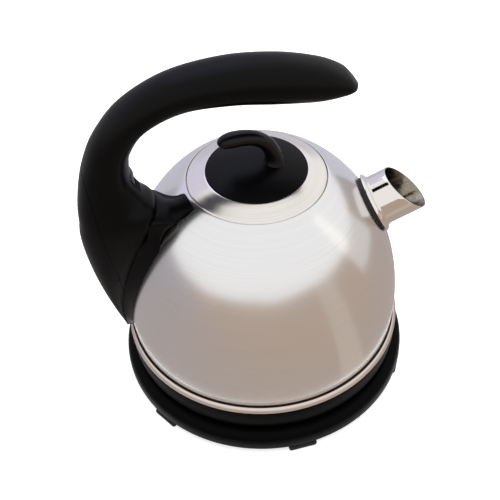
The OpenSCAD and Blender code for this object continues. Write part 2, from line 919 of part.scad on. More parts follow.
module cap_dome() {
    rotate_extrude($fn = 128)
        polygon(concat(
            cap_curve(0),
            [[cap_r, cap_z - 0.6], [cap_r, joint_z + 5.55], [cap_r - 0.2, joint_z + 1], [cap_r - 2, joint_z + 1],
             [cap_r - 2, cap_z - 0.8], [cap_r - 8, cap_z + 0.2], [6, cap_z + 2.4], [0, cap_z + 2.5]]
        ));
}

module lid_cap() {
    color(black)
        difference() {
            union() {
                cap_dome();
                translate([knob_x, 0, ledge_z - 5.95])
                    cylinder(r = 5, h = cap_z - ledge_z + 7.4, $fn = 48);
            }
            translate([knob_x, 0, ledge_z - 7])
                cylinder(r = 2.1, h = 40, $fn = 32);
        }
}

// Stations of the knob from its foot on the cap, up and over towards the handle:
// [x, z, direction of the outer side, half thickness, half width].
knob_rows = [
    [knob_x, cap_z + 1.2, -6, 8.6, 8.8],
    [knob_x, cap_z + 4.6, -4, 6.8, 7],
    [11.3, cap_z + 8, 4, 5.6, 5.8],
    [9.6, cap_z + 13.6, 20, 5, 5.2],
    [6, cap_z + 19.4, 44, 4.7, 5],
    [-0.2, cap_z + 23.9, 70, 4.6, 5.2],
    [-8, cap_z + 25.4, 90, 4.6, 5.6],
    [-15, cap_z + 25, 98, 4.6, 5.8],
    [-19.8, cap_z + 24.1, 104, 3.8, 4.8],
    [-22.4, cap_z + 23.5, 106, 2.3, 2.8],
    [-23.4, cap_z + 23.3, 106, 0.8, 1]
];
knob_sides = 20;

module lid_knob() {
    color(black)
        difference() {
            skin([for (s = smooth_rows(knob_rows, 2))
                [for (j = [0 : knob_sides - 1])
                    let (a = -360 * (j + 0.5) / knob_sides)
                    [s[0] + s[3] * cos(a) * cos(s[2]), s[4] * sin(a), s[1] + s[3] * cos(a) * sin(s[2])]]]);
            rotate_extrude()
                polygon(concat(cap_curve(0.02), [[cap_r, cap_z - 5], [0, cap_z - 5]]));
            translate([knob_x, 0, cap_z])
                cylinder(r = 2.05, h = 10, $fn = 32);
        }
}

// Plug under the lid: a pressed pan that centres the lid in the neck.
module lid_plug() {
    color(steel)
        difference() {
            rotate_extrude()
                polygon([
                    [0, ledge_z - 7], [plug_r - 2, ledge_z - 7], [plug_r, ledge_z - 5.6], [plug_r, ledge_z + 0.4],
                    [lid_r - 1.4, ledge_z + 0.4], [lid_r - 1.4, ledge_z + 1.4], [plug_r - wall, ledge_z + 1.4],
                    [plug_r - wall, ledge_z - 5], [plug_r - 2.6, ledge_z - 6], [0, ledge_z - 6]
                ]);
            translate([knob_x, 0, ledge_z - 8])
                cylinder(r = 2.1, h = 4, $fn = 32);
        }
}

module lid_seal() {
    color(seal_grey)
        rotate_extrude()
            polygon([
                [plug_r + 0.05, ledge_z - 4.6], [neck_r - 0.7, ledge_z - 4.4], [neck_r - 0.3, ledge_z - 3.4],
                [neck_r - 0.7, ledge_z - 2.6], [plug_r + 0.8, ledge_z - 2.4], [neck_r - 0.7, ledge_z - 2],
                [neck_r - 0.3, ledge_z - 1.2], [neck_r - 0.7, ledge_z - 0.4], [plug_r + 0.05, ledge_z - 0.2]
            ]);
}

module lid_screw() {
    color(bright)
        union() {
            translate([knob_x, 0, ledge_z - 8.4])
                cylinder(r = 4, h = 1.35, $fn = 32);
            translate([knob_x, 0, ledge_z - 8])
                cylinder(r = 2, h = cap_z - ledge_z + 17, $fn = 32);
        }
}

base_shell();
base_cover();
base_feet();
base_screws();
cord_gland();
contact_spigot();
contact_sleeves();
earth_pin();
socket();
socket_contacts();
vessel();
neck_ring();
band();
skirt();
skirt_screws();
floor_plate();
floor_seal();
heat_plate();
heating_element();
control_ring();
cutout_discs();
spout_tube();
spout_flange();
spout_gasket();
spout_strainer();
handle_shell();
handle_saddle();
rear_cover();
handle_screws();
steam_tube();
steam_switch();
switch_lever();
switch_pin();
lid_ring();
lid_cap();
lid_knob();
lid_plug();
lid_seal();
lid_screw();
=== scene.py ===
"""Looks of a cordless dome kettle: satin steel body, black hooped handle, round power base."""

import math

import bmesh
import bpy
from mathutils import Matrix, Vector


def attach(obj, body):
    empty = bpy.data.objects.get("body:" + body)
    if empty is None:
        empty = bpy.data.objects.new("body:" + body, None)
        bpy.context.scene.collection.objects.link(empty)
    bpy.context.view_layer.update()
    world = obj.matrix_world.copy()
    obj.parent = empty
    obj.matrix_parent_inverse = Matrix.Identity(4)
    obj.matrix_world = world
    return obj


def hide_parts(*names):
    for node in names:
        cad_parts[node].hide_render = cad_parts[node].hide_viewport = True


bl_info = {
    "name": "Dome kettle looks",
    "version": (1, 0, 0),
    "blender": (4, 5, 0),
    "location": "View3D > Sidebar > Kettle",
    "description": "Builds the visible skins and finishes of a dome kettle over its packed parts",
    "category": "Object",
}

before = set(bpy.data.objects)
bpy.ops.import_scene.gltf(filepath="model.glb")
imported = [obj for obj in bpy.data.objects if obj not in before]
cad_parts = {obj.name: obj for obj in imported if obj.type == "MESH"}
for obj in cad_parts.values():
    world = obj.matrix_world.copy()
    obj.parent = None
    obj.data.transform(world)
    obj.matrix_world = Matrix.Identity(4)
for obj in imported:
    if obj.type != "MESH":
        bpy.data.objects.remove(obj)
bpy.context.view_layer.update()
MM = 0.001

# Shapes are worked out in millimetres. The spout points along +X, the handle is at -X, and Z is up.
# The dome's half ellipse: widest radius, height of the widest line, and rise above it.
DOME_R, DOME_Z, DOME_RISE = 93.0, 61.5, 116.3
DOME_FOOT = 38.8
WALL = 1.0
LID_R = 45.0
LID_GAP = 0.4
CAP_R = 32.4
# Heights of the joint line round the lid, of the ledge that the lid rests on, and of the cap's edge.
JOINT_Z = DOME_Z + DOME_RISE * math.sqrt(1 - ((LID_R + LID_GAP) / DOME_R) ** 2)
LEDGE_Z = JOINT_Z - 3.2
CAP_Z = JOINT_Z + 6.2
# Distance of the knob's foot from the lid's centre.
KNOB_X = 11.8
# Height at which the spout's axis leaves the dome, its slope in degrees, and the radius of its hole.
SPOUT_Z, SPOUT_SLOPE, SPOUT_HOLE_R = 124.3, 25, 17.25


# ---------- colours and nodes ----------


def linear(hex_colour):
    """An sRGB hex colour as linear red, green, blue and full alpha."""
    parts = [int(hex_colour[i:i + 2], 16) / 255 for i in (1, 3, 5)]
    return tuple(c / 12.92 if c <= 0.04045 else ((c + 0.055) / 1.055) ** 2.4 for c in parts) + (1.0,)


def add_node(tree, kind, inputs=None, **settings):
    """Adds a node, sets its properties, and fills its inputs with values or links from other sockets."""
    node = tree.nodes.new(kind)
    for key, value in settings.items():
        setattr(node, key, value)
    for key, value in (inputs or {}).items():
        socket = node.inputs[key]
        if isinstance(value, bpy.types.NodeSocket):
            tree.links.new(value, socket)
        else:
            socket.default_value = value
    return node


def new_material(name):
    """An empty node material with its shader: returns the material, its tree and the Principled shader."""
    material = bpy.data.materials.new(name)
    material.use_nodes = True
    tree = material.node_tree
    tree.nodes.clear()
    shader = add_node(tree, "ShaderNodeBsdfPrincipled")
    add_node(tree, "ShaderNodeOutputMaterial", {"Surface": shader.outputs[0]})
    return material, tree, shader


def object_pattern(tree, scale):
    """Object coordinates stretched by scale, in cycles per metre along each axis."""
    place = add_node(tree, "ShaderNodeTexCoord").outputs["Object"]
    return add_node(tree, "ShaderNodeMapping", {"Vector": place, "Scale": scale}).outputs[0]


def blend_colours(tree, factor, low, high):
    """A colour that goes from low to high with factor, both given as hex."""
    mix = add_node(tree, "ShaderNodeMix", data_type="RGBA")
    tree.links.new(factor, mix.inputs[0])
    mix.inputs[6].default_value = linear(low)
    mix.inputs[7].default_value = linear(high)
    return mix.outputs[2]


def spread(tree, value, low, high, from_low=0.3, from_high=0.7):
    """A texture value mapped to the range low to high."""
    return add_node(
        tree, "ShaderNodeMapRange",
        {"Value": value, "From Min": from_low, "From Max": from_high, "To Min": low, "To Max": high},
    ).outputs[0]


# ---------- finishes ----------


def spun_satin_stainless(name="spun_satin_stainless", dark="#e5e4e4", light="#ebeaea", rough=0.2):
    """Drawn 18/8 sheet polished on a lathe with abrasive. The fine scratches run round the axis, so
    highlights are drawn out into soft streaks from lid to foot, and the metal looks faintly lined."""
    material, tree, shader = new_material(name)
    # Scratches 0.2 mm apart up the wall and 70 mm long round it, close to the real grit.
    lines = add_node(tree, "ShaderNodeTexNoise", {
        "Vector": object_pattern(tree, (14, 14, 4500)), "Scale": 1.0, "Detail": 2.0, "Roughness": 0.5})
    clouds = add_node(tree, "ShaderNodeTexNoise", {
        "Vector": object_pattern(tree, (18, 18, 30)), "Scale": 1.0, "Detail": 2.0})
    shader.inputs["Metallic"].default_value = 1.0
    tree.links.new(blend_colours(tree, spread(tree, lines.outputs[0], 0, 1), dark, light),
                   shader.inputs["Base Color"])
    tree.links.new(spread(tree, clouds.outputs[0], rough - 0.03, rough + 0.03, 0, 1),
                   shader.inputs["Roughness"])
    shader.inputs["Anisotropic"].default_value = 0.3
    shader.inputs["Anisotropic Rotation"].default_value = 0.25
    round_axis = add_node(tree, "ShaderNodeTangent", direction_type="RADIAL", axis="Z")
    tree.links.new(round_axis.outputs[0], shader.inputs["Tangent"])
    # The drawn sheet is not quite true: shallow waves 45 to 110 mm long bend the edges of what it mirrors.
    waves = add_node(tree, "ShaderNodeTexNoise", {
        "Vector": object_pattern(tree, (22, 22, 9)), "Scale": 1.0, "Detail": 1.0, "Roughness": 0.4})
    bump = add_node(tree, "ShaderNodeBump", {
        "Strength": 0.8, "Distance": 0.0016, "Height": waves.outputs[0]})
    tree.links.new(bump.outputs[0], shader.inputs["Normal"])
    return material


def buffed_stainless(name="buffed_stainless", colour="#e8e4df", rough=0.07):
    """Tube and trim buffed to a mirror. It shows its surroundings sharply, with a hint of buffing haze."""
    material, tree, shader = new_material(name)
    haze = add_node(tree, "ShaderNodeTexNoise", {
        "Vector": object_pattern(tree, (220, 220, 220)), "Scale": 1.0, "Detail": 3.0})
    shader.inputs["Metallic"].default_value = 1.0
    shader.inputs["Base Color"].default_value = linear(colour)
    tree.links.new(spread(tree, haze.outputs[0], rough - 0.02, rough + 0.03), shader.inputs["Roughness"])
    return material


def moulded_black(name="moulded_black", colour="#050506", rough=0.32, shine=0.1, grain=0.06):
    """Heat-proof moulded plastic with a spark-eroded satin grain. Deep black, with broad and very soft
    highlights that stay dark grey, as the grain breaks up most of the shine."""
    material, tree, shader = new_material(name)
    # Grain pits about 0.5 mm across, larger than the real 0.1 mm so that they show at all.
    pits = add_node(tree, "ShaderNodeTexNoise", {
        "Vector": object_pattern(tree, (2200, 2200, 2200)), "Scale": 1.0, "Detail": 2.0, "Roughness": 0.5})
    wear = add_node(tree, "ShaderNodeTexNoise", {
        "Vector": object_pattern(tree, (25, 25, 25)), "Scale": 1.0, "Detail": 3.0})
    shader.inputs["Base Color"].default_value = linear(colour)
    shader.inputs["Specular IOR Level"].default_value = shine
    tree.links.new(spread(tree, wear.outputs[0], rough - 0.03, rough + 0.04), shader.inputs["Roughness"])
    bump = add_node(tree, "ShaderNodeBump", {
        "Strength": grain, "Distance": 0.00002, "Height": pits.outputs[0]})
    tree.links.new(bump.outputs[0], shader.inputs["Normal"])
    return material


def plain_moulding(name, low, high, rough):
    """Unpainted technical moulding with faint flow clouds: dull, a little uneven in colour."""
    material, tree, shader = new_material(name)
    flow = add_node(tree, "ShaderNodeTexNoise", {
        "Vector": object_pattern(tree, (60, 60, 60)), "Scale": 1.0, "Detail": 3.0})
    tree.links.new(blend_colours(tree, spread(tree, flow.outputs[0], 0, 1), low, high),
                   shader.inputs["Base Color"])
    shader.inputs["Roughness"].default_value = rough
    bump = add_node(tree, "ShaderNodeBump", {
        "Strength": 0.08, "Distance": 0.00005, "Height": flow.outputs[0]})
    tree.links.new(bump.outputs[0], shader.inputs["Normal"])
    return material


def turned_metal(name, low, high, rough):
    """Small turned or pressed metal parts: bright, with fine uneven tool marks."""
    material, tree, shader = new_material(name)
    marks = add_node(tree, "ShaderNodeTexNoise", {
        "Vector": object_pattern(tree, (400, 400, 1500)), "Scale": 1.0, "Detail": 3.0})
    shader.inputs["Metallic"].default_value = 1.0
    tree.links.new(blend_colours(tree, spread(tree, marks.outputs[0], 0, 1), low, high),
                   shader.inputs["Base Color"])
    tree.links.new(spread(tree, marks.outputs[0], rough - 0.06, rough + 0.08), shader.inputs["Roughness"])
    return material


# The finishes made so far, by name.
FINISHES = {}


def finish(name):
    """The finish of that name, made once."""
    makers = {
        "dome": spun_satin_stainless,
        "lid_steel": lambda: spun_satin_stainless("spun_lid_stainless", "#e4dfd9", "#ece8e3", 0.22),
        "inner_steel": lambda: turned_metal("pressed_stainless", "#a39f9b", "#bdb9b5", 0.34),
        "bright": buffed_stainless,
        # Inside of the spout tube: darker and warmer than its outside, painted shade in the tube.
        "tube_bore_painted_shade": lambda: turned_metal("drawn_tube_bore_painted_shade", "#7d7668", "#a39b8a", 0.16),
        # The band's groove: a dark sealant colour that is also painted shade for the groove.
        "groove_sealant_and_shade": lambda: plain_moulding("dark_groove_filler_and_shade", "#4a2c22", "#58382c", 0.7),
        "band": lambda: buffed_stainless("rolled_bright_band", "#dfd5ce", 0.34),
        "black": moulded_black,
        "cap": lambda: moulded_black("moulded_black_cap", "#040405", 0.34),
        "knob": lambda: moulded_black("moulded_black_knob", "#070709", 0.3, 0.24),
        "base": lambda: moulded_black("moulded_black_base", "#050505", 0.42, 0.045),
        "inner_black": lambda: plain_moulding("glass_filled_nylon", "#1c1c1e", "#242427", 0.55),
        "cream": lambda: plain_moulding("urea_cream", "#ddd7c6", "#e8e3d4", 0.5),
        "rubber": lambda: plain_moulding("moulded_rubber", "#0e0e0f", "#161617", 0.8),
        "gasket": lambda: plain_moulding("dark_silicone", "#1d1a17", "#26221e", 0.55),
        "silicone": lambda: plain_moulding("grey_silicone", "#7d8084", "#8f9296", 0.6),
        "brass": lambda: turned_metal("turned_brass", "#b3924a", "#c9aa62", 0.22),
        "aluminium": lambda: turned_metal("cast_aluminium", "#a9abac", "#c6c8c9", 0.42),
        "screw": lambda: turned_metal("zinc_plated_steel", "#b4b6b8", "#cfd1d2", 0.25),
    }
    if name not in FINISHES:
        FINISHES[name] = makers[name]()
    return FINISHES[name]


# ---------- shaping ----------


def catmull(a, b, c, d, t):
    """Catmull-Rom value a share t of the way from b to c."""
    square = 2 * a - 5 * b + 4 * c - d
    cube = 3 * b - a - 3 * c + d
    return 0.5 * (2 * b + (c - a) * t + square * t * t + cube * t ** 3)


def smooth_rows(rows, parts):
    """Rows of a table smoothed into parts steps between each pair."""
    last = len(rows) - 1
    out = []
    for i in range(last):
        for k in range(parts):
            four = (rows[max(i - 1, 0)], rows[i], rows[i + 1], rows[min(i + 2, last)])
            out.append([catmull(*vals, k / parts) for vals in zip(*four)])
    out.append(list(rows[last]))
    return out


def dome_angle(z):
    """Angle on the dome's ellipse at height z."""
    return math.asin((z - DOME_Z) / DOME_RISE)


def dome_point(t, off=0.0):
    """Radius and height of the dome's outline at angle t, moved outwards by off."""
    n = Vector((math.cos(t) / DOME_R, math.sin(t) / DOME_RISE)).normalized()
    return (DOME_R * math.cos(t) + off * n.x, DOME_Z + DOME_RISE * math.sin(t) + off * n.y)


def dome_radius(z):
    """Radius of the dome at height z."""
    return dome_point(dome_angle(z))[0]


def dome_outline(off, low, high, steps=96):
    """The dome's outline from angle low to angle high, moved outwards by off."""
    return [dome_point(low + (high - low) * i / steps, off) for i in range(steps + 1)]


def wire(bm, profile):
    """An open chain of edges through [radius, height] points in the plane y = 0."""
    verts = [bm.verts.new((r, 0, z)) for r, z in profile]
    edges = [bm.edges.new(pair) for pair in zip(verts, verts[1:])]
    return verts, edges


def spun(profile, steps=256, closed=True):
    """A surface of revolution round Z. A closed profile gives a ring, and an open one ends on the axis."""
    bm = bmesh.new()
    verts, edges = wire(bm, profile)
    if closed:
        edges.append(bm.edges.new((verts[-1], verts[0])))
    bmesh.ops.spin(bm, geom=verts + edges, cent=(0, 0, 0), axis=(0, 0, 1), dvec=(0, 0, 0),
                   angle=2 * math.pi, steps=steps, use_merge=True, use_duplicate=False)
    bmesh.ops.remove_doubles(bm, verts=bm.verts, dist=0.0005)
    bmesh.ops.recalc_face_normals(bm, faces=bm.faces)
    return bm


def soften(bm, width, angle=24.0, segments=2):
    """Rounds every edge sharper than angle, and returns the bmesh."""
    sharp = [e for e in bm.edges if e.is_manifold and e.calc_face_angle(0) > math.radians(angle)]
    bmesh.ops.bevel(bm, geom=sharp, offset=width, offset_type="OFFSET", segments=segments, profile=0.5,
                    affect="EDGES", material=-1, clamp_overlap=True)
    return bm


def swept(rings):
    """A closed skin extruded ring by ring through lists of points, capped at both ends."""
    bm = bmesh.new()
    loop = list(bmesh.ops.create_circle(bm, segments=len(rings[0]), radius=1.0)["verts"])
    first = edges = list(bm.edges)
    for vert, point in zip(loop, rings[0]):
        vert.co = point
    for ring in rings[1:]:
        grown = bmesh.ops.extrude_edge_only(bm, edges=edges)["geom"]
        edges = [g for g in grown if isinstance(g, bmesh.types.BMEdge)]
        before, after = set(loop), {}
        for vert in (g for g in grown if isinstance(g, bmesh.types.BMVert)):
            for edge in vert.link_edges:
                if edge.other_vert(vert) in before:
                    after[edge.other_vert(vert)] = vert
        loop = [after[vert] for vert in loop]
        for vert, point in zip(loop, ring):
            vert.co = point
    bmesh.ops.edgenet_fill(bm, edges=first)
    bmesh.ops.edgenet_fill(bm, edges=edges)
    bmesh.ops.poke(bm, faces=[f for f in bm.faces if len(f.verts) > 4])
    bmesh.ops.recalc_face_normals(bm, faces=bm.faces)
    return bm


def cut_away(piece, *cutters):
    """Cuts the cutters' solids out of a piece."""
    for cutter in cutters:
        modifier = piece.modifiers.new("cut", "BOOLEAN")
        modifier.operation = "DIFFERENCE"
        modifier.solver = "EXACT"
        modifier.object = cutter
        bpy.context.view_layer.update()
        shaped = bpy.data.meshes.new_from_object(
            piece.evaluated_get(bpy.context.evaluated_depsgraph_get()))
        piece.modifiers.clear()
        old = piece.data
        piece.data = shaped
        bpy.data.meshes.remove(old)
        bpy.data.objects.remove(cutter)


def solid_object(name, bm):
    """A bare object from a bmesh in millimetres."""
    bmesh.ops.scale(bm, vec=(MM, MM, MM), verts=bm.verts)
    mesh = bpy.data.meshes.new(name)
    bm.to_mesh(mesh)
    bm.free()
    obj = bpy.data.objects.new(name, mesh)
    bpy.context.scene.collection.objects.link(obj)
    return obj


def cylinder_cutter(radius, low, high, matrix):
    """A plain cylinder along its own Z from low to high, placed by matrix."""
    bm = bmesh.new()
    bmesh.ops.create_cone(bm, cap_ends=True, segments=96, radius1=radius, radius2=radius, depth=high - low,
                          matrix=matrix @ Matrix.Translation((0, 0, (low + high) / 2)))
    return solid_object("cutter", bm)


def shade(obj, angle):
    """Smooth shading, with edges sharper than angle kept crisp."""
    obj.data.polygons.foreach_set("use_smooth", [True] * len(obj.data.polygons))
    obj.data.set_sharp_from_angle(angle=math.radians(angle))


def dress(obj, finish_name, body, node, angle=32.0):
    """Gives a piece its finish and its body, and lets it stand for its CAD node."""
    shade(obj, angle)
    obj.data.materials.clear()
    obj.data.materials.append(finish(finish_name))
    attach(obj, body)
    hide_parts(node)


def second_finish(obj, finish_name, chosen):
    """Gives the faces whose centre, in mm, is chosen a finish of their own."""
    obj.data.materials.append(finish(finish_name))
    for face in obj.data.polygons:
        if chosen(face.center / MM):
            face.material_index = len(obj.data.materials) - 1


# ---------- sizes and colours a user may change ----------


class KettleSizes(bpy.types.PropertyGroup):
    """Sizes of the visible skins."""

    band_radius: bpy.props.FloatProperty(
        name="Band radius", description="Outer radius of the steel band at the dome's foot",
        default=0.095, min=0.0945, max=0.096, subtype="DISTANCE", unit="LENGTH")
    spout_radius: bpy.props.FloatProperty(
        name="Spout radius", description="Outer radius of the spout tube",
        default=0.0172, min=0.0164, max=0.0176, subtype="DISTANCE", unit="LENGTH")
    spout_length: bpy.props.FloatProperty(
        name="Spout length", description="Length of the spout from its flange to its mouth",
        default=0.0218, min=0.02, max=0.0236, subtype="DISTANCE", unit="LENGTH")
    grip_half_width: bpy.props.FloatProperty(
        name="Grip half width", description="Half width of the grip across the kettle",
        default=0.017, min=0.016, max=0.018, subtype="DISTANCE", unit="LENGTH")
    grip_half_thickness: bpy.props.FloatProperty(
        name="Grip half thickness", description="Half thickness of the top of the grip",
        default=0.0132, min=0.0124, max=0.014, subtype="DISTANCE", unit="LENGTH")


class KettleStage(bpy.types.PropertyGroup):
    """The plain studio round the kettle."""

    floor_colour: bpy.props.FloatVectorProperty(
        name="Floor colour", description="Colour of the floor and backdrop", subtype="COLOR", size=4,
        default=linear("#ffffff"), min=0.0, max=1.0)
    key_power: bpy.props.FloatProperty(
        name="Key light", description="Power of the large overhead softbox, in watts", default=16.0, min=0.0,
        unit="POWER")
    side_power: bpy.props.FloatProperty(
        name="Side light", description="Power of the side softbox, in watts", default=1.15, min=0.0,
        unit="POWER")
    lens: bpy.props.FloatProperty(
        name="Lens", description="Focal length of the camera, in millimetres", default=72.0, min=20.0,
        unit="CAMERA")


# ---------- body ----------


def spout_frame(along=0.0):
    """Placement whose Z runs out along the spout's axis, and which starts along mm out from the dome."""
    foot = Vector((dome_radius(SPOUT_Z), 0, SPOUT_Z))
    return (Matrix.Translation(foot) @ Matrix.Rotation(math.radians(90 - SPOUT_SLOPE), 4, "Y")
            @ Matrix.Translation((0, 0, along)))


class KETTLE_OT_body(bpy.types.Operator):
    """Spins the steel dome and its turned-in rim"""

    bl_idname = "kettle.body"
    bl_label = "Steel dome"

    def execute(self, context):
        low, high = dome_angle(DOME_FOOT), dome_angle(JOINT_Z)
        outside = dome_outline(0, low, high)
        inside = dome_outline(-WALL, low, dome_angle(LEDGE_Z + 0.8))
        turned_in_rim = [
            (LID_R + 0.42, JOINT_Z - 0.02), (LID_R + 0.22, JOINT_Z + 0.06), (LID_R + 0.05, JOINT_Z - 0.06),
            (LID_R, JOINT_Z - 0.3), (LID_R, LEDGE_Z)]
        bm = spun(outside[:-1] + turned_in_rim + inside[::-1], steps=288)
        dome = solid_object("dome_steel", bm)
        cut_away(dome, cylinder_cutter(SPOUT_HOLE_R, -12, 9, spout_frame()))
        dress(dome, "dome", "kettle", "vessel", angle=40)
        return {"FINISHED"}


class KETTLE_OT_band(bpy.types.Operator):
    """Rolls the bright band above the skirt, with the groove between it and the dome coloured dark as sealant
    and as painted shade
    """

    bl_idname = "kettle.band"
    bl_label = "Steel band"

    def execute(self, context):
        r = context.scene.kettle_sizes.band_radius / MM
        z, height, groove_floor = DOME_FOOT, 4.4, 1.6
        inner = dome_radius(z + height) + 0.05
        lip = inner + 0.9
        profile = [
            (inner, z), (r - 0.5, z), (r, z + 0.8), (r - 0.1, z + 2.4), (r - 0.8, z + 3.6),
            (lip + 0.5, z + height), (lip, z + 4.3), (lip - 0.2, z + groove_floor), (inner, z + groove_floor)]
        bm = soften(spun(profile, steps=288), 0.24, 20, 3)
        ring = solid_object("steel_band", bm)
        dress(ring, "band", "kettle", "band")
        # The groove's faces take the dark sealant colour, which is partly painted shade in the groove.
        second_finish(ring, "groove_sealant_and_shade", lambda c: c.z > z + 1.2 and math.hypot(c.x, c.y) < lip - 0.02)
        return {"FINISHED"}


class KETTLE_OT_skirt(bpy.types.Operator):
    """Turns the black skirt that hides the base joint"""

    bl_idname = "kettle.skirt"
    bl_label = "Skirt"

    def execute(self, context):
        r = context.scene.kettle_sizes.band_radius / MM
        low, top = 20.6, DOME_FOOT - 0.1
        rim_r, opening_r = dome_radius(DOME_FOOT) - 4, 20.2
        screws, screw_circle, screw_hole_r = 3, 70, 3.4
        profile = [
            (opening_r, low + 1.4), (25.6, low + 0.4), (28.6, low), (r - 5.4, low), (r - 3, low + 0.9),
            (r - 1.6, low + 3), (r - 0.8, low + 7), (r - 0.5, top), (rim_r, top), (rim_r, top - 3.9),
            (r - 3.6, top - 5.9), (r - 4.4, low + 4), (r - 6.4, low + 2), (opening_r, low + 2)]
        skirt = solid_object("black_skirt", soften(spun(profile), 0.5, 12, 3))
        for k in range(screws):
            turn = Matrix.Rotation(math.radians(30 + 360 / screws * k), 4, "Z")
            place = turn @ Matrix.Translation((screw_circle, 0, 0))
            cut_away(skirt, cylinder_cutter(screw_hole_r, low - 1, low + 6, place))
        dress(skirt, "base", "kettle", "skirt")
        return {"FINISHED"}


# ---------- spout ----------


class KETTLE_OT_spout(bpy.types.Operator):
    """Draws the mirror-bright spout tube, its flange and its seal"""

    bl_idname = "kettle.spout"
    bl_label = "Spout"

    def execute(self, context):
        sizes = context.scene.kettle_sizes
        r, length = sizes.spout_radius / MM, sizes.spout_length / MM
        wall, start, flange_at = 0.9, -4.0, 1.0
        # Beyond this distance the tube shears, more and more, up to a mouth cut at this angle.
        bend, slant = 3.0, math.radians(24)
        tip = flange_at + length
        lip = [(r, tip - 0.4), (r - 0.06, tip - 0.15), (r - 0.22, tip - 0.03), (r - wall / 2, tip),
               (r - wall + 0.22, tip - 0.03), (r - wall + 0.06, tip - 0.15), (r - wall, tip - 0.4)]
        stops = [start, bend, 7, 11, 15, 19]
        bm = spun([(r, z) for z in stops] + lip + [(r - wall, z) for z in stops[::-1]], steps=192)
        for vert in bm.verts:
            vert.co.z += max(0.0, (vert.co.z - bend) / (tip - bend)) * vert.co.x * math.tan(slant)
        bmesh.ops.transform(bm, matrix=spout_frame(), verts=bm.verts)
        pipe = solid_object("spout_pipe", bm)
        dress(pipe, "bright", "kettle", "spout_tube", angle=60)
        out = spout_frame().inverted()
        # The tube's inner faces take the darker finish: painted shade inside the tube.
        second_finish(pipe, "tube_bore_painted_shade", lambda c: (out @ c).xy.length < r - wall / 2)
        flange = [(r + 0.02, 0.6), (r + 1, 0.4), (r + 3.4, -1.3), (r + 3.56, -1.22), (r + 3.6, -1),
                  (r + 3.4, -0.5), (r + 2.2, 0.6), (r + 1.3, 1), (r + 0.7, 1.4), (r + 0.35, 2.4),
                  (r + 0.02, 2.4)]
        bm = soften(spun(flange, steps=192), 0.12, 30, 2)
        bmesh.ops.transform(bm, matrix=spout_frame(flange_at), verts=bm.verts)
        dress(solid_object("spout_collar", bm), "bright", "kettle", "spout_flange")
        gasket = [(r + 0.05, -3.4), (r + 1.7, -3.4), (r + 1.7, 0.3), (r + 0.05, 0.5)]
        bm = soften(spun(gasket, steps=128), 0.15, 30, 2)
        bmesh.ops.transform(bm, matrix=spout_frame(flange_at), verts=bm.verts)
        dress(solid_object("spout_seal", bm), "gasket", "kettle", "spout_gasket")
        return {"FINISHED"}


# ---------- handle ----------

# The superellipse's power on the outer side of the handle, where 2 would be a plain ellipse.
OUTER_FLATNESS = 2.3
# The ends of the straight joint between the handle and its rear cover, and the gap that shows there.
SPLIT_LOW, SPLIT_TOP, SPLIT_GAP = Vector((-94.5, 0, 98)), Vector((-104, 0, 172)), 0.22


def handle_rows(t, w):
    """Stations up the back and round to the free end, for a grip of half thickness t and half width w: x, z,
    direction of the outer side in degrees, half thickness, half width, flatness of the inner side, shift."""
    return [
        [-96.8, 45, 180, 0.8, 3, 3, 0], [-97.6, 53, 180, 1.6, 6, 3.4, 0], [-99.2, 65, 180, 3.4, 9.5, 4, 0],
        [-100.8, 85, 180, 7, 14, 5, 0], [-100.3, 105, 180, 11.7, 17.5, 6, -0.6],
        [-97.7, 125, 181, 17.1, 19.5, 6, -1.6], [-93.5, 141.8, 185, 22.2, 20, 4.6, -3],
        [-90, 153.9, 190, 24.9, 19.5, 3, -4], [-93.1, 163.8, 190, 21.1, 18.5, 2.3, -2.6],
        [-94, 177, 183, 16.8, 17.6, 2.1, -0.8], [-92, 190.1, 173, t + 0.9, w, 2.1, 0],
        [-85.9, 205.7, 154, t - 1.4, w - 0.8, 2.1, 0], [-71.7, 222.7, 132, t - 2.5, w - 1.5, 2.1, 0],
        [-46.5, 235.1, 112, t - 1.8, w - 1.3, 2.1, 0], [-15.3, 238.1, 95, t, w - 0.4, 2.1, 0],
        [14.1, 235.2, 86, t + 0.6, w, 2.1, 0], [38.4, 230.7, 80, t - 1.5, w - 1.2, 2.1, 0],
        [53, 227.5, 77, t - 5.8, w - 3.8, 2.1, 0], [60, 224.8, 76, t - 10, w - 8, 2.1, 0],
        [63, 223, 76, 1.2, 2, 2.1, 0]]


def signed_power(v, e):
    """The power e of v's size, with v's sign."""
    return math.copysign(abs(v) ** e, v)


def handle_ring(station, sides=56):
    """One cross-section of the handle: a superellipse with a flatter inner side."""
    x, z, outwards, thick, wide, flatness, shift = station
    turn = math.radians(outwards)
    ring = []
    for j in range(sides):
        a = 2 * math.pi * (j + 0.5) / sides
        e = 2 / (OUTER_FLATNESS if math.cos(a) > 0 else flatness)
        p = thick * signed_power(math.cos(a), e)
        q = shift + wide * signed_power(math.sin(a), e)
        ring.append((x + p * math.cos(turn), q, z + p * math.sin(turn)))
    return ring


def half_of_handle(rings, keep_back):
    """The handle's skin on one side of the rear cover's joint, its cut closed and edged."""
    bm = swept(rings)
    along = (SPLIT_TOP - SPLIT_LOW).normalized()
    back = Vector((-along.z, 0, along.x))
    gap = SPLIT_GAP if keep_back else 0.0
    bmesh.ops.bisect_plane(bm, geom=bm.verts[:] + bm.edges[:] + bm.faces[:], dist=0.0001,
                           plane_co=SPLIT_LOW + gap * back, plane_no=back,
                           clear_inner=keep_back, clear_outer=not keep_back)
    rim = [e for e in bm.edges if e.is_boundary]
    bmesh.ops.holes_fill(bm, edges=rim, sides=0)
    bmesh.ops.recalc_face_normals(bm, faces=bm.faces)
    joint = [e for e in bm.edges if e.is_manifold and e.calc_face_angle(0) > math.radians(35)
             and all(abs((v.co - SPLIT_LOW - gap * back).dot(back)) < 0.01 for v in e.verts)]
    bmesh.ops.bevel(bm, geom=joint, offset=0.3, offset_type="OFFSET", segments=2, profile=0.5,
                    affect="EDGES", material=-1, clamp_overlap=True)
    return bm


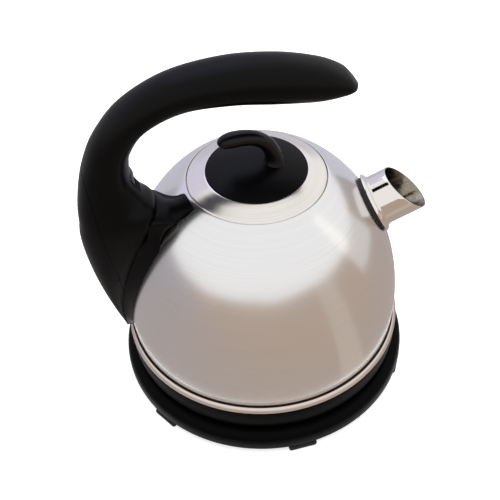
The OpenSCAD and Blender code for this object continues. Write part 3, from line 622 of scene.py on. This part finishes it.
class KETTLE_OT_handle(bpy.types.Operator):
    """Lofts the hooped handle in its two mouldings"""

    bl_idname = "kettle.handle"
    bl_label = "Handle"

    def execute(self, context):
        sizes = context.scene.kettle_sizes
        rows = handle_rows(sizes.grip_half_thickness / MM, sizes.grip_half_width / MM)
        rings = [handle_ring(s) for s in smooth_rows(rows, 8)]
        shell = solid_object("handle_front", half_of_handle(rings, False))
        # The switch lever's slot.
        slot_size, slot_at = (30, 14, 13.4, 1), (-76, 0, 175.7)
        slot = bmesh.new()
        bmesh.ops.create_cube(slot, size=1, matrix=Matrix.Translation(slot_at) @ Matrix.Diagonal(slot_size))
        cut_away(shell, solid_object("cutter", slot))
        dress(shell, "black", "kettle", "handle_shell", angle=38)
        cover = solid_object("handle_back", half_of_handle(rings, True))
        dress(cover, "black", "kettle", "rear_cover", angle=38)
        return {"FINISHED"}


# Tongue of the saddle, from the end of the handle's seam to the lid: x, z, height on the dome, half width
# outside, half width on the dome, crown, shift to the side.
TONGUE = [
    [-61, 156.2, 152.6, 12.4, 14.6, 3.6, -7.6], [-56.6, 157.4, 155.6, 10, 12, 3, -10],
    [-51.9, 159.8, 158.7, 8.2, 9.6, 1.9, -12], [-47.4, 162.9, 161.4, 7.2, 8, 0.8, -13.2]]
# Half width of the saddle on the dome, and its shift to the side, by height.
SADDLE_WIDTHS = [(44, 3.8), (53, 8.4), (65, 13.6), (85, 19.8), (105, 22.6), (125, 23.2), (138, 21.8),
                 (144, 19), (150, 15.8)]
SADDLE_SHIFTS = [(65, 0), (105, -1.6), (125, -2.4), (138, -3.4), (144, -4.8), (150, -6.8)]


def lookup(z, table):
    """Straight-line value of a table at z."""
    for (a, va), (b, vb) in zip(table, table[1:]):
        if z <= b:
            return va + (vb - va) * max(0.0, (z - a) / (b - a))
    return table[-1][1]


def saddle_ring(row, station, seam, across=17, down=6):
    """One closed section of the saddle: handle side, hollow flank, dome side, hollow flank. The handle side
    follows the handle's station by the share seam, from 1 along its seam to 0 in the tongue."""
    x, z, height, w_out, w_in, crown, shift = row
    foot = dome_point(dome_angle(height), 0.12)
    turn = math.radians(station[2])
    side = seam * station[6] + (1 - seam) * shift

    def inner(v):
        angle = math.asin((v * w_in + shift) / foot[0])
        return Vector((-foot[0] * math.cos(angle), foot[0] * math.sin(angle), foot[1]))

    def outer(v):
        part = min(1.0, abs(v * w_out / station[4])) ** station[5]
        lift = seam * station[3] * (1 - (1 - part) ** (1 / station[5]))
        y = v * w_out + side
        return Vector((x + lift * math.cos(turn) + (1 - seam) * y * y / 96, y,
                       z + lift * math.sin(turn) - crown * v * v))

    def flank(v, t):
        a, b = outer(v), inner(v)
        hollow = Vector((0.25 * a.x + 0.75 * b.x, 0.7 * a.y + 0.3 * b.y, a.z))
        c = seam * hollow + (1 - seam) * (a + b) / 2
        return (1 - t) ** 2 * a + 2 * t * (1 - t) * c + t * t * b

    span = [-1 + 2 * k / (across - 1) for k in range(across)]
    return ([outer(v) for v in span] + [flank(1, k / down) for k in range(1, down)]
            + [inner(-v) for v in span] + [flank(-1, k / down) for k in range(down - 1, 0, -1)])


class KETTLE_OT_saddle(bpy.types.Operator):
    """Lofts the saddle that seats the handle on the dome"""

    bl_idname = "kettle.saddle"
    bl_label = "Saddle"

    def execute(self, context):
        sizes = context.scene.kettle_sizes
        rows = handle_rows(sizes.grip_half_thickness / MM, sizes.grip_half_width / MM)
        # The seam follows the handle up to its thickest row, and the next row only steers the curve.
        thickest, parts = 7, 6
        seam = smooth_rows(rows[:thickest + 2], parts)[:thickest * parts + 1]
        # The saddle reaches this far into the handle, and its half width is this share of the handle's.
        lap, width_share = 0.8, 0.93
        # Above this height its line on the dome climbs at only this share of the handle's rate.
        slow_z, slow = 137, 0.6
        rings = []
        for s in seam:
            turn = math.radians(s[2])
            x, z = s[0] - (s[3] - lap) * math.cos(turn), s[1] - (s[3] - lap) * math.sin(turn)
            height = z if z < slow_z else slow_z + (z - slow_z) * slow
            row = [x, z, height, width_share * s[4], lookup(z, SADDLE_WIDTHS), 0.0,
                   lookup(height, SADDLE_SHIFTS)]
            rings.append(saddle_ring(row, s, 1.0))
        for k, tongue_row in enumerate(smooth_rows([row] + TONGUE, parts)[1:], 1):
            rings.append(saddle_ring(tongue_row, s, max(0.0, 1 - k / parts)))
        bm = swept(rings)
        # The tongue and its root run into each other without a fold.
        soft = [v for v in bm.verts if v.co.z > 136 and -86 < v.co.x < -50]
        for _ in range(10):
            bmesh.ops.smooth_vert(
                bm, verts=soft, factor=0.5, use_axis_x=True, use_axis_y=True, use_axis_z=True)
        dress(solid_object("saddle", bm), "black", "kettle", "handle_saddle", angle=50)
        return {"FINISHED"}


# ---------- lid ----------


class KETTLE_OT_lid(bpy.types.Operator):
    """Spins the lid's steel ring and black cap"""

    bl_idname = "kettle.lid"
    bl_label = "Lid"

    def execute(self, context):
        z, sheet = JOINT_Z, 0.9
        top = smooth_rows([[LID_R - 0.35, z - 0.35], [LID_R - 0.9, z + 0.42], [LID_R - 2, z + 1],
                           [LID_R - 5, z + 2.4], [LID_R - 8.6, z + 4.1], [CAP_R + 0.9, z + 5.4],
                           [CAP_R + 0.15, z + 5.5]], 6)
        under = [
            (CAP_R + 0.15, z + 5.5 - sheet), (CAP_R + 0.9, z + 5.4 - sheet), (LID_R - 8.6, z + 4.1 - sheet),
            (LID_R - 5, z + 2.4 - sheet), (LID_R - 2, z + 1 - sheet), (LID_R - 1.25, z - 0.6),
            (LID_R - 1.25, z - 2.6)]
        bm = spun([(LID_R - 0.35, z - 2.6)] + top + under)
        dress(solid_object("lid_steel", bm), "lid_steel", "lid", "lid_ring")
        rise, steps = 4.8, 48
        crown = [(CAP_R * k / steps, CAP_Z + rise * (1 - (k / steps) ** 2)) for k in range(steps - 1)]
        edge = [
            (CAP_R - 0.25, CAP_Z + 0.1), (CAP_R - 0.05, CAP_Z - 0.25), (CAP_R, CAP_Z - 0.7),
            (CAP_R, z + 5.55), (CAP_R - 0.2, z + 1), (CAP_R - 2, z + 1), (CAP_R - 2, CAP_Z - 0.8),
            (CAP_R - 8, CAP_Z + 0.2), (6, CAP_Z + 2.4), (0, CAP_Z + 2.5)]
        bm = spun(crown + edge, steps=192, closed=False)
        stem_r, stem_foot, stem_top = 5, LEDGE_Z - 4.2, CAP_Z + 3.2
        bmesh.ops.create_cone(
            bm, cap_ends=True, segments=48, radius1=stem_r, radius2=stem_r, depth=stem_top - stem_foot,
            matrix=Matrix.Translation((KNOB_X, 0, (stem_foot + stem_top) / 2)))
        dress(solid_object("lid_cap_shell", bm), "cap", "lid", "lid_cap")
        return {"FINISHED"}


class KETTLE_OT_knob(bpy.types.Operator):
    """Lofts the hooked knob"""

    bl_idname = "kettle.knob"
    bl_label = "Knob"

    def execute(self, context):
        c, sides = CAP_Z, 40
        # Stations from the foot to the tip of the hook: x, z, tilt in degrees, half thickness, half width.
        rows = [
            [KNOB_X, c + 1.2, -6, 8.6, 8.8], [KNOB_X, c + 4.6, -4, 6.8, 7], [11.3, c + 8, 4, 5.6, 5.8],
            [9.6, c + 13.6, 20, 5, 5.2], [6, c + 19.4, 44, 4.7, 5], [-0.2, c + 23.9, 70, 4.6, 5.2],
            [-8, c + 25.4, 90, 4.6, 5.6], [-15, c + 25, 98, 4.6, 5.8], [-19.8, c + 24.1, 104, 3.8, 4.8],
            [-22.4, c + 23.5, 106, 2.3, 2.8], [-23.4, c + 23.3, 106, 0.8, 1]]
        rings = []
        for x, z, turn, thick, wide in smooth_rows(rows, 6):
            ring = []
            for j in range(sides):
                a = 2 * math.pi * (j + 0.5) / sides
                ring.append((x + thick * math.cos(a) * math.cos(math.radians(turn)), wide * math.sin(a),
                             z + thick * math.cos(a) * math.sin(math.radians(turn))))
            rings.append(ring)
        dress(solid_object("hooked_knob", swept(rings)), "knob", "lid", "lid_knob", angle=60)
        return {"FINISHED"}


# ---------- power base ----------


class KETTLE_OT_base(bpy.types.Operator):
    """Turns the round shell of the power base, and sets its feet"""

    bl_idname = "kettle.base"
    bl_label = "Power base"

    def execute(self, context):
        r, foot, h, deck, wall, opening_r = 100.0, 4.0, 19.2, 16.6, 2.2, 20
        profile = [
            (r - 1.6, foot), (r - 0.5, foot + 1.4), (r - 0.1, foot + 3.5), (r, foot + 7),
            (r - 0.4, foot + 10), (r - 1.6, foot + 12.6), (r - 3.6, foot + 14.5), (r - 6.2, h),
            (r - 10, h), (r - 12.4, deck + 0.6), (r - 14.4, deck), (opening_r, deck),
            (opening_r, deck - wall), (r - 14, deck - wall), (r - 10, h - wall - 0.4),
            (r - 6.8, h - wall - 0.4), (r - 3.4, foot + 11.4), (r - wall, foot + 7),
            (r - wall - 0.3, foot + 3), (r - wall - 1.6, foot)]
        bm = soften(spun(profile), 0.6, 8, 3)
        shell = solid_object("power_base_shell", bm)
        # The cord's gland leaves through a round hole at the back.
        gland_r, gland_at = 4.7, (0, 92, 10.5)
        place = Matrix.Translation(gland_at) @ Matrix.Rotation(math.radians(-90), 4, "X")
        cut_away(shell, cylinder_cutter(gland_r, 0, 12, place))
        dress(shell, "base", "power_base", "base_shell")
        feet, foot_at, long, wide, high = 6, 91.2, 17, 19.6, 3.9
        block = Matrix.Translation((foot_at, 0, high / 2)) @ Matrix.Diagonal((long, wide, high, 1))
        bm = bmesh.new()
        for k in range(feet):
            turn = Matrix.Rotation(math.radians(35 + 360 / feet * k), 4, "Z")
            bmesh.ops.create_cube(bm, size=1, matrix=turn @ block)
        bm = soften(bm, 1.6, 24, 3)
        dress(solid_object("feet", bm), "rubber", "power_base", "base_feet")
        return {"FINISHED"}


class KETTLE_OT_fittings(bpy.types.Operator):
    """Gives every remaining part its own finish"""

    bl_idname = "kettle.fittings"
    bl_label = "Fittings"

    # The nodes that are shown as they are packed, by finish.
    groups = {
        "inner_black": ["contact_spigot", "socket"],
        "base": ["base_cover", "cord_gland"],
        "black": ["switch_lever"],
        "brass": ["contact_sleeves", "earth_pin", "socket_contacts"],
        "screw": ["base_screws", "skirt_screws", "handle_screws", "lid_screw", "switch_pin", "cutout_discs"],
        "inner_steel": ["neck_ring", "floor_plate", "lid_plug", "spout_strainer"],
        "silicone": ["floor_seal", "steam_tube", "lid_seal"],
        "aluminium": ["heat_plate", "heating_element"],
        "cream": ["control_ring", "steam_switch"],
    }

    def execute(self, context):
        for finish_name, nodes in self.groups.items():
            for name in nodes:
                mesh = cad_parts[name].data
                mesh.materials.clear()
                mesh.materials.append(finish(finish_name))
        return {"FINISHED"}


# ---------- stage ----------


def softbox(name, size, power, place, target):
    """A white rectangular lamp turned to target, which shiny parts don't mirror. Sizes are in metres."""
    lamp = bpy.data.lights.new(name, "AREA")
    lamp.shape = "RECTANGLE"
    lamp.size, lamp.size_y = size
    lamp.energy = power
    obj = bpy.data.objects.new(name, lamp)
    obj.location = place
    obj.rotation_euler = (Vector(target) - obj.location).to_track_quat("-Z", "Y").to_euler()
    obj.visible_glossy = False
    bpy.context.scene.collection.objects.link(obj)


def card(name, bm, near, far, strength=1.0):
    """A coloured board that only shiny parts mirror. Its colour is near in front and to the right of the
    kettle, and far behind it and to the left."""
    obj = solid_object(name, bm)
    material = bpy.data.materials.new(name)
    material.use_nodes = True
    tree = material.node_tree
    tree.nodes.clear()
    place = add_node(tree, "ShaderNodeTexCoord").outputs["Object"]
    depth = add_node(tree, "ShaderNodeVectorMath", {0: place, 1: (-0.45, 1, 0)},
                     operation="DOT_PRODUCT").outputs["Value"]
    colour = blend_colours(tree, spread(tree, depth, 0, 1, -0.25, 0.2), near, far)
    glow = add_node(tree, "ShaderNodeEmission", {"Color": colour, "Strength": strength})
    add_node(tree, "ShaderNodeOutputMaterial", {"Surface": glow.outputs[0]})
    obj.data.materials.append(material)
    obj.visible_camera = obj.visible_diffuse = obj.visible_shadow = obj.visible_transmission = False


class KETTLE_OT_stage(bpy.types.Operator):
    """Sets the camera, floor, world and lamps"""

    bl_idname = "kettle.stage"
    bl_label = "Stage"

    def execute(self, context):
        stage = context.scene.kettle_stage
        self.camera(context, stage)
        self.floor(stage)
        self.world(context)
        softbox("key", (2.0, 1.6), stage.key_power, (0.1, 0.1, 1.7), (0, 0, 0.1))
        softbox("right", (0.28, 1.1), stage.side_power, (1.25, -0.45, 0.62), (0, 0, 0.12))
        self.cards()
        context.scene.view_settings.view_transform = "Standard"
        return {"FINISHED"}

    def camera(self, context, stage):
        """Looks down on the kettle from the front and a little from the left. Lengths are in metres."""
        turn, rise, roll = math.radians(-8), math.radians(45.42), math.radians(-3.08)
        middle, distance = Vector((0, 0, 0.103)), 0.6744
        shift_right, shift_up = -0.0065, -0.00515
        back = Vector((math.sin(turn) * math.cos(rise), -math.cos(turn) * math.cos(rise), math.sin(rise)))
        flat = Vector((math.cos(turn), math.sin(turn), 0))
        over = back.cross(flat)
        right = math.cos(roll) * flat + math.sin(roll) * over
        up = -math.sin(roll) * flat + math.cos(roll) * over
        data = bpy.data.cameras.new("camera")
        data.lens = stage.lens
        data.sensor_width = 36
        data.clip_start = 0.01
        camera = bpy.data.objects.new("camera", data)
        context.scene.collection.objects.link(camera)
        axes = Matrix((right, up, back)).transposed().to_4x4()
        place = middle + shift_right * right + shift_up * up + distance * back
        camera.matrix_world = Matrix.Translation(place) @ axes
        context.scene.camera = camera

    def cards(self):
        """The boards that the steel mirrors: a warm shallow cone round the kettle, paler strips across it, a
        white board at the right, and pale blue ones behind and above."""
        inside, outside = (112, 1.5), (1700, 390)
        bm = bmesh.new()
        for radius, height in (inside, outside):
            loop = bmesh.ops.create_circle(bm, segments=96, radius=radius)["verts"]
            bmesh.ops.translate(bm, vec=(0, 0, height), verts=loop)
        bmesh.ops.bridge_loops(bm, edges=bm.edges[:])
        card("table_card", bm, "#bcaa9b", "#aeaaae")
        self.strip("runner_card", -47, 8, 118, 1400, "#c8b9ac")
        self.strip("right_card", -2, 14, 360, 1680, "#dcd7d3")
        self.strip("rear_right_card", 60, 22, 130, 1680, "#d2d1db")
        self.strip("rear_left_card", 105, 22, 130, 1680, "#c9c8d4")
        bm = bmesh.new()
        bmesh.ops.create_grid(bm, x_segments=1, y_segments=1, size=1)
        for vert in bm.verts:
            vert.co = (1270 - 40 * vert.co.x, -300 + 110 * vert.co.y, 680 + 460 * vert.co.x)
        card("side_card", bm, "#fffefa", "#fffefa", 1.2)
        self.board("back_card", 2000, 70, (-1200, 2200, 1950), "#dddbf0", 1.0)
        self.board("window_card", 600, -32, (-150, 1150, 1850), "#dfe4ff", 1.8)

    def strip(self, name, azimuth, half, near, far, colour):
        """A paler strip just above the cone, from near to far, half degrees to each side of azimuth."""
        slope = 0.245
        bm = bmesh.new()
        bmesh.ops.create_grid(bm, x_segments=1, y_segments=1, size=1)
        for vert in bm.verts:
            reach = far if vert.co.x > 0 else near
            angle = math.radians(azimuth + half * vert.co.y)
            vert.co = (reach * math.cos(angle), reach * math.sin(angle), 4 + (reach - 112) * slope)
        card(name, bm, colour, colour)

    def board(self, name, half, tilt, place, colour, strength):
        """A square board that reaches half to each side of place, tilted about X in degrees."""
        bm = bmesh.new()
        bmesh.ops.create_grid(bm, x_segments=2, y_segments=2, size=half)
        bmesh.ops.rotate(bm, cent=(0, 0, 0), matrix=Matrix.Rotation(math.radians(tilt), 3, "X"),
                         verts=bm.verts)
        bmesh.ops.translate(bm, vec=place, verts=bm.verts)
        card(name, bm, colour, colour, strength)

    def floor(self, stage):
        """A floor that takes soft shadows but looks white to the camera and in the steel."""
        bm = bmesh.new()
        bmesh.ops.create_grid(bm, x_segments=8, y_segments=8, size=3000)
        floor = solid_object("floor", bm)
        material = bpy.data.materials.new("studio_floor")
        material.use_nodes = True
        tree = material.node_tree
        tree.nodes.clear()
        paper = add_node(tree, "ShaderNodeBsdfDiffuse", {"Color": stage.floor_colour[:]})
        bright = add_node(tree, "ShaderNodeEmission", {"Color": stage.floor_colour[:], "Strength": 0.7})
        both = add_node(tree, "ShaderNodeAddShader", {0: paper.outputs[0], 1: bright.outputs[0]})
        mix = add_node(tree, "ShaderNodeMixShader", {0: self.looked_at(tree)})
        tree.links.new(paper.outputs[0], mix.inputs[1])
        tree.links.new(both.outputs[0], mix.inputs[2])
        add_node(tree, "ShaderNodeOutputMaterial", {"Surface": mix.outputs[0]})
        floor.data.materials.append(material)

    def world(self, context):
        """White surroundings, at half strength for what they light."""
        world = bpy.data.worlds.new("studio_world")
        context.scene.world = world
        world.use_nodes = True
        tree = world.node_tree
        tree.nodes.clear()
        strength = spread(tree, self.looked_at(tree), 0.5, 1.0, 0.0, 1.0)
        background = add_node(tree, "ShaderNodeBackground", {"Color": (1, 1, 1, 1), "Strength": strength})
        add_node(tree, "ShaderNodeOutputWorld", {"Surface": background.outputs[0]})

    def looked_at(self, tree):
        """1 for rays of the camera and for those mirrored or let through by the kettle, else 0."""
        path = add_node(tree, "ShaderNodeLightPath")
        seen = path.outputs["Is Camera Ray"]
        for other in ("Is Glossy Ray", "Is Transmission Ray"):
            seen = add_node(tree, "ShaderNodeMath", {0: seen, 1: path.outputs[other]},
                            operation="MAXIMUM").outputs[0]
        return seen


# ---------- panel and run ----------

# The operators in the order in which the kettle is built.
STEPS = ("body", "band", "skirt", "spout", "handle", "saddle", "lid", "knob", "base", "fittings", "stage")


class KETTLE_PT_panel(bpy.types.Panel):
    """Lists the kettle's pieces and sizes"""

    bl_idname = "KETTLE_PT_panel"
    bl_label = "Kettle"
    bl_space_type = "VIEW_3D"
    bl_region_type = "UI"
    bl_category = "Kettle"

    def draw(self, context):
        for group in (context.scene.kettle_sizes, context.scene.kettle_stage):
            for key in group.__annotations__:
                self.layout.prop(group, key)
        for step in STEPS:
            self.layout.operator("kettle." + step)


CLASSES = (KettleSizes, KettleStage, KETTLE_OT_body, KETTLE_OT_band, KETTLE_OT_skirt, KETTLE_OT_spout,
           KETTLE_OT_handle, KETTLE_OT_saddle, KETTLE_OT_lid, KETTLE_OT_knob, KETTLE_OT_base,
           KETTLE_OT_fittings, KETTLE_OT_stage, KETTLE_PT_panel)


def register():
    for cls in CLASSES:
        bpy.utils.register_class(cls)
    bpy.types.Scene.kettle_sizes = bpy.props.PointerProperty(type=KettleSizes)
    bpy.types.Scene.kettle_stage = bpy.props.PointerProperty(type=KettleStage)


def unregister():
    del bpy.types.Scene.kettle_stage
    del bpy.types.Scene.kettle_sizes
    for cls in reversed(CLASSES):
        bpy.utils.unregister_class(cls)


def main():
    """Builds the kettle and its stage."""
    register()
    for step in STEPS:
        getattr(bpy.ops.kettle, step)()


if __name__ == "__main__":
    main()
